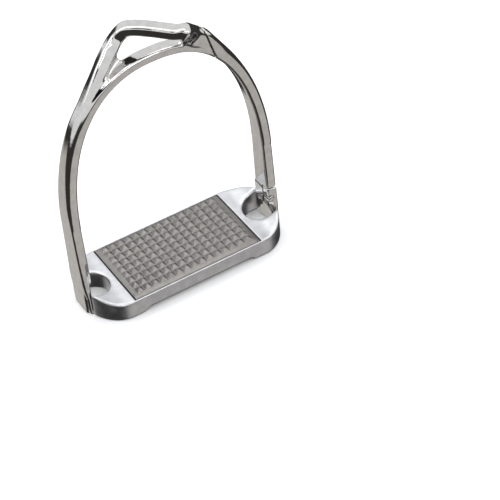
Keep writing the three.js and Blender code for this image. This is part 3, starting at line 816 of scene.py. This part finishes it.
def magnet_plating():
    return metal(
        "magnet_plating",
        tuple(finish_settings().magnet),
        smooth=0.25, rough=0.42, waviness=0.3, scratches=0.6,
        grain=0.3, pits=0.5,
        depth=0.00004, grime_and_shade_reach=0.001, grime_and_shade_most=0.8,
    )


# ---- Pieces ----------------------------------------------------------------
def join_pocket(g, s, from_tip, start, end, radius):
    return g.rod(on_scarf(from_tip), SCARF_NORMAL, start, end, radius + s.gap)


def pin_bore(g, s):
    return g.rod(PIN, BACK, -FAR, FAR, s.pin_diameter / 2 + s.gap)


class STIRRUP_OT_bow(bpy.types.Operator):
    """Adds the bow: the fixed leg, the arch and the turned strap eye"""

    bl_idname = "stirrup.add_bow"
    bl_label = "Bow"

    def execute(self, context):
        s = sizes()
        whole, ring = ring_field(s.voxel)
        g, field = crop(whole, ring, (-68, -19, 0), (40, 19, 175))
        field = smooth_cut(field, arm_side(g, -s.gap / 2), 0.5)
        field = smooth_cut(field, leg_hollow(g, s, -1, 18.0), 1.4)
        depth = MAGNET_THICKNESS + 2 * s.gap
        field = np.maximum(field, -join_pocket(g, s, MAGNET_FROM_TIP, -depth, 4.0, MAGNET_RADIUS))
        field = np.maximum(field, -join_pocket(g, s, PEG_FROM_TIP, -PEG_LENGTH - 1, 4.0, PEG_RADIUS))
        field_piece("bow_casting", g, field, polished_steel(), "frame", "polished_steel", "bow")
        return {"FINISHED"}


class STIRRUP_OT_arm(bpy.types.Operator):
    """Adds the release arm with its knuckle"""

    bl_idname = "stirrup.add_arm"
    bl_label = "Release arm"

    def execute(self, context):
        s = sizes()
        whole, ring = ring_field(s.voxel)
        g, ring = crop(whole, ring, (27, -19, 12), (68, 19, 166))
        front = s.cheek_back_y + s.gap
        outer = s.inside_half_width + s.leg_thickness
        arm = smooth_common(ring, arm_side(g, s.gap / 2), 0.5)
        arm = smooth_common(arm, s.seam_z + s.gap / 2 - g.z, 0.5)
        tongue = np.maximum(ring, g.box(-FAR, FAR, front, FAR, PIN[2], s.seam_z + 1))
        knuckle = g.rod(PIN, BACK, front, s.leg_depth / 2, s.tongue_radius)
        space = g.box(s.inside_half_width - 0.4, outer, -FAR, FAR, 0, s.seam_z)
        field = np.minimum(arm, np.minimum(tongue, np.maximum(knuckle, space)))
        field = g.soften(field, s.voxel, 1)
        depth = MAGNET_THICKNESS + 2 * s.gap
        field = np.maximum(field, -join_pocket(g, s, MAGNET_FROM_TIP, -4.0, depth, MAGNET_RADIUS))
        field = np.maximum(field, -join_pocket(g, s, PEG_FROM_TIP, -4.0, PEG_ROOT + s.gap, PEG_RADIUS))
        field = np.maximum(field, -pin_bore(g, s))
        field_piece("swinging_arm", g, field, polished_steel(), "arm", "polished_steel", "release_arm")
        return {"FINISHED"}


class STIRRUP_OT_post(bpy.types.Operator):
    """Adds the hinge post at the arm's end of the tread"""

    bl_idname = "stirrup.add_post"
    bl_label = "Hinge post"

    def execute(self, context):
        s = sizes()
        whole, ring = ring_field(s.voxel)
        g, ring = crop(whole, ring, (50, -19, 0), (68, 19, 34))
        post = smooth_common(ring, g.z - (s.seam_z - s.gap / 2), 0.5)
        post = smooth_cut(post, leg_hollow(g, s, 1, 10.0), 1.4)
        behind = g.box(-FAR, FAR, s.cheek_back_y, FAR, s.shelf_z, FAR)
        swing = g.rod(PIN, BACK, s.cheek_back_y, FAR, s.tongue_radius + s.gap)
        post = smooth_cut(post, np.minimum(behind, swing), 0.8)
        around = np.sqrt((g.x - PIN[0]) ** 2 + (g.z - PIN[2]) ** 2) - CHEEK_RADIUS
        corner = np.maximum(-around, np.maximum(PIN[0] - g.x, PIN[2] - g.z))
        post = smooth_cut(post, corner, 0.3)
        post = np.maximum(post, -pin_bore(g, s))
        field_piece("post_casting", g, post, polished_steel(), "frame", "polished_steel", "hinge_post")
        return {"FINISHED"}


def small_grid(centre, direction, start, end, radius):
    """A fine grid round a small turned piece."""
    ends = np.array([centre + direction * start, centre + direction * end])
    return Grid(ends.min(0) - radius, ends.max(0) + radius, 0.16)


class STIRRUP_OT_pin_and_peg(bpy.types.Operator):
    """Adds the slotted hinge pin and the locating peg"""

    bl_idname = "stirrup.add_pin_and_peg"
    bl_label = "Pin and peg"

    def execute(self, context):
        s = sizes()
        face = s.leg_depth / 2 + s.gap
        g = small_grid(PIN, BACK, -face - 1, face, s.pin_head / 2)
        shank = g.rod(PIN, BACK, -face, s.leg_depth / 2 - s.gap, s.pin_diameter / 2)
        head = g.rod(PIN, BACK, -face - 0.9, -face, s.pin_head / 2)
        dome = g.ball(PIN - BACK * (face - 3.6), (4.6, 4.5, 4.6))
        field = g.soften(np.minimum(shank, np.maximum(head, dome)), 0.16, 2)
        slot = g.box(-FAR, FAR, -FAR, -face - 0.45, PIN[2] - 0.3, PIN[2] + 0.3)
        field = smooth_cut(field, slot, 0.15)
        field_piece("slotted_pin", g, field, pin_steel(), "frame", "pin_steel", "hinge_pin")
        centre = on_scarf(PEG_FROM_TIP)
        g = small_grid(centre, SCARF_NORMAL, -PEG_LENGTH, PEG_ROOT, PEG_RADIUS)
        peg = g.rod(centre, SCARF_NORMAL, -PEG_LENGTH, PEG_ROOT, PEG_RADIUS)
        field_piece("domed_peg", g, g.soften(peg, 0.32, 3), pin_steel(), "arm", "pin_steel", "locating_peg")
        return {"FINISHED"}


class STIRRUP_OT_magnets(bpy.types.Operator):
    """Adds the two magnets that hold the arm shut"""

    bl_idname = "stirrup.add_magnets"
    bl_label = "Magnets"

    def execute(self, context):
        s = sizes()
        centre = on_scarf(MAGNET_FROM_TIP)
        for name, side, body, node in (
            ("arm_disc", 1, "arm", "arm_magnet"),
            ("bow_disc", -1, "frame", "bow_magnet"),
        ):
            outward = SCARF_NORMAL * side
            end = MAGNET_THICKNESS + s.gap
            g = small_grid(centre, outward, 2 * s.gap, end, MAGNET_RADIUS)
            disc = g.rod(centre, outward, 2 * s.gap, end, MAGNET_RADIUS)
            field = g.soften(disc, 0.16, 2)
            field_piece(name, g, field, magnet_plating(), body, "magnet_metal", node)
        return {"FINISHED"}


def shoulder_height(g, s):
    """Height of the tread's top, which ramps up in front of and behind each leg."""
    outward = np.clip((np.abs(g.x) - SHOULDER_START_X) / SHOULDER_RUN, 0, 1)
    return s.tread_top_z + s.shoulder_rise * outward**2 * smoothstep(np.abs(g.y), 4, 14)


def screw_places():
    return [(x, y) for x in (-SCREW_X, SCREW_X) for y in (-SCREW_Y, SCREW_Y)]


class STIRRUP_OT_tread(bpy.types.Operator):
    """Adds the tread's frame with its two lobes"""

    bl_idname = "stirrup.add_tread"
    bl_label = "Tread"

    def execute(self, context):
        s = sizes()
        g = Grid((-66, -27, 0), (66, 27, 19), s.voxel)
        top = g.z - shoulder_height(g, s)
        raised = 1 - smoothstep(np.abs(g.x), UNDERCUT_INNER_X, UNDERCUT_OUTER_X)
        under = (s.middle_lift + 0.3) * raised - g.z
        rim = lerp(0.5, 1.8, smoothstep(np.abs(g.x), 44, 50))
        field = smooth_common(outline_field(g, s), top, rim)
        field = smooth_common(field, under, 1.6)
        field = np.clip(field, -4, 4).astype(np.float32)
        for side in (-1, 1):
            centre = np.array([side * s.hole_centre_x, 0.0, 0.0])
            field = smooth_cut(field, g.rod(centre, UP, -FAR, FAR, s.hole_radius), 1.4)
        outer = s.inside_half_width + s.leg_thickness
        foot_face = outer - s.foot_thickness - s.gap
        foot = np.maximum(foot_face - np.abs(g.x), np.abs(g.y) - s.foot_half_width - s.gap)
        leg = np.maximum(s.inside_half_width - s.gap - np.abs(g.x), np.abs(g.y) - s.leg_depth / 2 - s.gap)
        field = smooth_cut(field, np.minimum(foot, leg), 0.5)
        field = g.soften(field, s.voxel, 1)
        half_x = s.plate_length / 2 + 2 * s.gap
        half_y = s.plate_depth / 2 + s.gap
        floor = s.tread_top_z - s.plate_thickness - s.gap
        field = smooth_cut(field, g.box(-half_x, half_x, -half_y, half_y, floor, FAR), 0.3)
        for x, y in screw_places():
            place = np.array([x, y, 0.0])
            shank = g.rod(place, UP, 0, FAR, SCREW_SHANK_RADIUS + SCREW_CLEARANCE)
            head = g.rod(place, UP, -1, s.middle_lift + 0.6, SCREW_HEAD_RADIUS + SCREW_CLEARANCE)
            field = np.maximum(field, -np.minimum(shank, head))
        field_piece("tread_casting", g, field, satin_steel(), "frame", "satin_steel", "tread_body")
        return {"FINISHED"}


class STIRRUP_OT_screws(bpy.types.Operator):
    """Adds the four screws under the grip plate"""

    bl_idname = "stirrup.add_screws"
    bl_label = "Plate screws"

    def execute(self, context):
        s = sizes()
        low = s.middle_lift + s.gap
        for index, (x, y) in enumerate(screw_places(), 1):
            place = np.array([x, y, 0.0])
            g = small_grid(place, UP, low, SCREW_TOP_Z, 3.0)
            head = g.rod(place, UP, low, low + 2.0, SCREW_HEAD_RADIUS)
            taper = np.sqrt((g.x - x) ** 2 + (g.y - y) ** 2) + (g.z - low - 0.3) * 0.83 - SCREW_HEAD_RADIUS
            shank = g.rod(place, UP, low, SCREW_TOP_Z, SCREW_SHANK_RADIUS)
            field = np.minimum(np.maximum(head, taper), shank)
            sides = [math.radians(60 * turn) for turn in range(6)]
            flats = [np.cos(a) * (g.x - x) + np.sin(a) * (g.y - y) - 1.0 for a in sides]
            socket = np.maximum(np.maximum.reduce(flats), g.z - low - 1.1)
            field = np.maximum(field, -socket)
            name = f"socket_screw_{index}"
            field_piece(name, g, field, pin_steel(), "frame", "pin_steel", f"plate_screw_{index}")
        return {"FINISHED"}


class STIRRUP_OT_grip_plate(bpy.types.Operator):
    """Adds the grip plate with its rows of square studs"""

    bl_idname = "stirrup.add_grip_plate"
    bl_label = "Grip plate"

    def execute(self, context):
        s = sizes()
        half_x = s.plate_length / 2
        half_y = s.plate_depth / 2
        back = half_y - 0.5 - s.stud_pitch / 2
        xs = self.lines(s.stud_columns, s.stud_pitch, 0.0, half_x, -half_x, half_x)
        middle_y = back - (s.stud_rows - 1) * s.stud_pitch / 2
        ys = self.lines(s.stud_rows, s.stud_pitch, middle_y, half_y, -half_y, half_y)
        across = self.from_stud(xs, s.stud_columns, s.stud_pitch, 0.0)
        along = self.from_stud(ys, s.stud_rows, s.stud_pitch, middle_y)
        reach = (across[:, None] ** 9 + along[None, :] ** 9) ** (1 / 9)
        flank = 1.0 - (reach - 0.4) / (s.stud_base / 2 - 0.4)
        height = s.stud_height * self.rounded(flank)
        rim_x = np.minimum(half_x - np.abs(xs), 0.5)[:, None]
        rim_y = np.minimum(half_y - np.abs(ys), 0.5)[None, :]
        rim = np.minimum(rim_x, rim_y)
        height = height - 0.45 * (1 - rim / 0.5) ** 2
        verts, faces = self.sheet(xs, ys, s.tread_top_z + height, s.tread_top_z - s.plate_thickness)
        add_mesh("studded_plate", verts, faces, grip_metal(), "frame", "grip_metal", "grip_plate")
        return {"FINISHED"}

    @staticmethod
    def rounded(flank):
        """Flattens the top and eases the foot of a straight flank from 0 to 1."""
        clipped = np.clip(flank, 0.0, 1.0)
        soft = clipped + 0.02 * np.exp(-((flank / 0.08) ** 2))
        return np.where(flank > 1.0, 1.0, np.minimum(soft, 1.0))

    @staticmethod
    def lines(count, pitch, middle, limit, low, high):
        """Grid lines, close together over each stud's flanks and its top."""
        shares = [0.02, 0.06, 0.095, 0.14, 0.22, 0.32, 0.42, 0.52, 0.62, 0.7, 0.76, 0.8, 0.84, 0.9, 1.0]
        values = {round(low, 4), round(high, 4)}
        values |= {round(low + inset, 4) for inset in (0.1, 0.25, 0.5)}
        values |= {round(high - inset, 4) for inset in (0.1, 0.25)}
        for index in range(count):
            centre = middle + (index - (count - 1) / 2) * pitch
            for share in shares:
                for sign in (-1, 1):
                    values.add(round(centre + sign * share * pitch / 2, 4))
        return np.array(sorted(value for value in values if low <= value <= high))

    @staticmethod
    def from_stud(values, count, pitch, middle):
        """Distance from the middle of the nearest stud."""
        index = np.round((values - middle) / pitch + (count - 1) / 2)
        index = np.clip(index, 0, count - 1)
        return np.abs(values - middle - (index - (count - 1) / 2) * pitch)

    @staticmethod
    def sheet(xs, ys, heights, floor):
        """A plate with a shaped top and straight sides."""
        columns = len(xs)
        rows = len(ys)
        top = [(xs[i], ys[j], heights[i, j]) for i in range(columns) for j in range(rows)]
        low = [(xs[i], ys[j], floor) for i in range(columns) for j in range(rows)]
        count = columns * rows

        def at(i, j, level=0):
            return level * count + i * rows + j

        faces = []
        for i in range(columns - 1):
            for j in range(rows - 1):
                faces.append((at(i, j), at(i + 1, j), at(i + 1, j + 1), at(i, j + 1)))
        edge = [(i, 0) for i in range(columns)] + [(columns - 1, j) for j in range(1, rows)]
        edge += [(i, rows - 1) for i in range(columns - 2, -1, -1)] + [(0, j) for j in range(rows - 2, 0, -1)]
        for here, after in zip(edge, edge[1:] + edge[:1]):
            faces.append((at(*after), at(*here), at(*here, 1), at(*after, 1)))
        faces.append([at(*place, 1) for place in edge])
        used = sorted({index for face in faces for index in face})
        renumber = {old: new for new, old in enumerate(used)}
        everything = top + low
        verts = [everything[index] for index in used]
        return verts, [[renumber[index] for index in face] for face in faces]


# ---- Studio ----------------------------------------------------------------
CAMERA_AIM = Vector((0.0331, -0.0291, 0.012))
CAMERA_DISTANCE = 1.14771
CAMERA_AZIMUTH = math.radians(-27.63)
CAMERA_ELEVATION = math.radians(42.66)
CAMERA_ROLL = math.radians(-6.0)
CAMERA_LENS = 139.8
TOWARDS_VIEWER = (-0.341, -0.651, 0.678)
TOWARDS_LEFT_SHEET = (-0.4, 0.63, -0.66)
TOWARDS_FRONT_SHEET = (0.341, -0.651, -0.678)
OPENING_COLOUR = (0.01, 0.01, 0.012)
WALL_COLOUR = (1.0, 1.01, 1.03)
TABLE_COLOUR = (0.045, 0.044, 0.043)
SHEET_COLOUR = (0.62, 0.6, 0.58)
BACKDROP_COLOUR = (0.92, 0.92, 0.92)


def studio_camera():
    """Long lens, from the front left and above, with a slight roll."""
    flat = math.cos(CAMERA_ELEVATION)
    back = Vector(
        (math.sin(CAMERA_AZIMUTH) * flat, -math.cos(CAMERA_AZIMUTH) * flat, math.sin(CAMERA_ELEVATION))
    )
    right = Vector((0, 0, 1)).cross(back).normalized()
    up = back.cross(right)
    cos = math.cos(CAMERA_ROLL)
    sin = math.sin(CAMERA_ROLL)
    side = right * cos + up * sin
    upright = up * cos - right * sin
    data = bpy.data.cameras.new("studio_camera")
    data.lens = CAMERA_LENS
    data.clip_end = 20
    camera = bpy.data.objects.new("studio_camera", data)
    turn = Matrix((side, upright, back)).transposed().to_4x4()
    camera.matrix_world = Matrix.Translation(CAMERA_AIM + back * CAMERA_DISTANCE) @ turn
    bpy.context.scene.collection.objects.link(camera)
    bpy.context.scene.camera = camera


def soft_light(name, place, aim, width, depth, power):
    data = bpy.data.lights.new(name, "AREA")
    data.shape = "RECTANGLE"
    data.size = width
    data.size_y = depth
    data.energy = power
    light = bpy.data.objects.new(name, data)
    light.location = place
    light.rotation_euler = (Vector(aim) - Vector(place)).to_track_quat("-Z", "Y").to_euler()
    bpy.context.scene.collection.objects.link(light)


def towards(tree, place, direction, low, high):
    """Mask that rises as the direction is neared. The limits are cosines."""
    item = tree.nodes.new("ShaderNodeVectorMath")
    item.operation = "DOT_PRODUCT"
    tree.links.new(place, item.inputs[0])
    item.inputs[1].default_value = Vector(direction).normalized()
    return ramp_between(tree, item.outputs["Value"], low, high)


def studio_world():
    """Pale walls with a dark opening round the viewer, over a dark table that has two pale sheets."""
    world = bpy.data.worlds.new("studio_walls")
    bpy.context.scene.world = world
    world.use_nodes = True
    tree = world.node_tree
    place = tree.nodes.new("ShaderNodeTexCoord").outputs["Generated"]
    parts = tree.nodes.new("ShaderNodeSeparateXYZ")
    tree.links.new(place, parts.inputs["Vector"])
    opening = towards(tree, place, TOWARDS_VIEWER, 0.93, 0.955)
    walls = tinted(tree, opening, WALL_COLOUR, OPENING_COLOUR)
    left_sheet = towards(tree, place, TOWARDS_LEFT_SHEET, 0.9, 0.945)
    front_sheet = towards(tree, place, TOWARDS_FRONT_SHEET, 0.86, 0.93)
    sheets = math_node(tree, "MAXIMUM", left_sheet, front_sheet)
    table = tinted(tree, sheets, TABLE_COLOUR, SHEET_COLOUR)
    above = ramp_between(tree, parts.outputs["Z"], -0.16, -0.02)
    shade = tinted(tree, above, table, walls)
    seen = tree.nodes.new("ShaderNodeLightPath").outputs["Is Camera Ray"]
    backdrop = tinted(tree, seen, shade, BACKDROP_COLOUR)
    tree.links.new(backdrop, tree.nodes["Background"].inputs["Color"])


class STIRRUP_OT_studio(bpy.types.Operator):
    """Adds the floor, the soft lights and the camera"""

    bl_idname = "stirrup.add_studio"
    bl_label = "Studio"

    def execute(self, context):
        mesh = bpy.data.meshes.new("studio_floor")
        size = 6.0
        corners = [(-size, -size, 0), (size, -size, 0), (size, size, 0), (-size, size, 0)]
        mesh.from_pydata(corners, [], [(0, 1, 2, 3)])
        floor = bpy.data.objects.new("studio_floor", mesh)
        context.scene.collection.objects.link(floor)
        material = bpy.data.materials.new("studio_paper")
        material.use_nodes = True
        shader = material.node_tree.nodes["Principled BSDF"]
        tree = material.node_tree
        paper = tuple(finish_settings().floor)
        cloudy = noise(tree, object_place(tree), 3, 2)
        sheet = tinted(tree, cloudy, tuple(0.985 * value for value in paper), paper)
        tree.links.new(sheet, shader.inputs["Base Color"])
        shader.inputs["Roughness"].default_value = 0.75
        mesh.materials.append(material)
        floor.visible_glossy = False
        soft_light("key_softbox", (-0.7, 0.35, 0.9), (0, 0, 0.06), 0.6, 0.9, 3.6)
        soft_light("top_softbox", (0.25, 0.45, 1.1), (0, 0, 0.06), 1.0, 0.6, 3.2)
        soft_light("side_softbox", (0.95, -0.25, 0.75), (0, 0, 0.06), 0.4, 0.7, 1.4)
        soft_light("front_softbox", (0.0, -0.78, 0.95), (0, 0, 0.06), 0.9, 0.22, 3.0)
        studio_world()
        studio_camera()
        context.scene.view_settings.view_transform = "Standard"
        return {"FINISHED"}


class STIRRUP_PT_panel(bpy.types.Panel):
    """Lists the stirrup's pieces in the sidebar"""

    bl_label = "Release stirrup iron"
    bl_idname = "STIRRUP_PT_panel"
    bl_space_type = "VIEW_3D"
    bl_region_type = "UI"
    bl_category = "Stirrup"

    def draw(self, context):
        for operator in OPERATORS:
            self.layout.operator(operator.bl_idname)
        for settings in (context.scene.stirrup_sizes, context.scene.stirrup_finish):
            column = self.layout.column()
            for name in settings.__annotations__:
                column.prop(settings, name)


OPERATORS = (
    STIRRUP_OT_studio,
    STIRRUP_OT_bow,
    STIRRUP_OT_arm,
    STIRRUP_OT_post,
    STIRRUP_OT_pin_and_peg,
    STIRRUP_OT_magnets,
    STIRRUP_OT_tread,
    STIRRUP_OT_screws,
    STIRRUP_OT_grip_plate,
)
CLASSES = (StirrupSizes, StirrupFinish, *OPERATORS, STIRRUP_PT_panel)


def register():
    for item in CLASSES:
        bpy.utils.register_class(item)
    bpy.types.Scene.stirrup_sizes = PointerProperty(type=StirrupSizes)
    bpy.types.Scene.stirrup_finish = PointerProperty(type=StirrupFinish)


def unregister():
    del bpy.types.Scene.stirrup_finish
    del bpy.types.Scene.stirrup_sizes
    for item in reversed(CLASSES):
        bpy.utils.unregister_class(item)


def main():
    register()
    bpy.ops.stirrup.add_studio()
    bpy.ops.stirrup.add_bow()
    bpy.ops.stirrup.add_arm()
    bpy.ops.stirrup.add_post()
    bpy.ops.stirrup.add_pin_and_peg()
    bpy.ops.stirrup.add_magnets()
    bpy.ops.stirrup.add_tread()
    bpy.ops.stirrup.add_screws()
    bpy.ops.stirrup.add_grip_plate()


if __name__ == "__main__":
    main()
